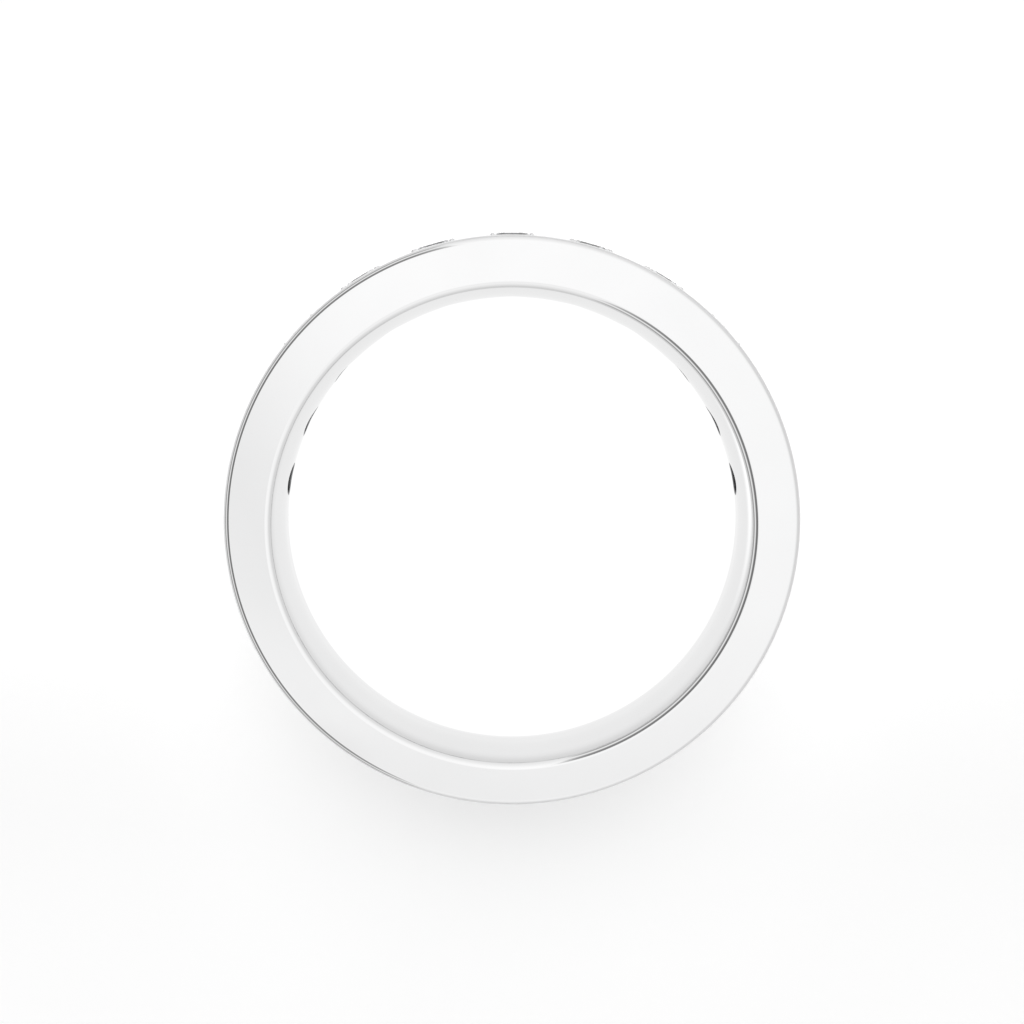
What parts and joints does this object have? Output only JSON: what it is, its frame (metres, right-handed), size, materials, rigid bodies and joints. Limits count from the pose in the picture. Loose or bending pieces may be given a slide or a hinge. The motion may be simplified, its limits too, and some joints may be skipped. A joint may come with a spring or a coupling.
{
  "type": "half eternity ring",
  "caption": "Polished white metal half eternity ring with a comfort-fit finger hole, flat sides and a row of round brilliant stones set flush under small beads, over open light holes.",
  "frame": {"origin": "centre of the finger hole, halfway through the band's width", "axes": "+Z along the finger, +Y to the middle stone of the row, +X to the right when the ring is seen from +Z with the stones at the top; at rest the ring lies on its lower side face, at Z -1.9 mm"},
  "size_m": [0.0216, 0.0217, 0.0038],
  "materials": {
    "white_metal": "polished",
    "clear_stone": "polished"
  },
  "bodies": {
    "root": {"band": "white_metal", "stone_01": "clear_stone", "stone_02": "clear_stone", "stone_03": "clear_stone", "stone_04": "clear_stone", "stone_05": "clear_stone", "stone_06": "clear_stone", "stone_07": "clear_stone", "stone_08": "clear_stone", "stone_09": "clear_stone", "stone_10": "clear_stone", "stone_11": "clear_stone"}
  },
  "joints": []
}
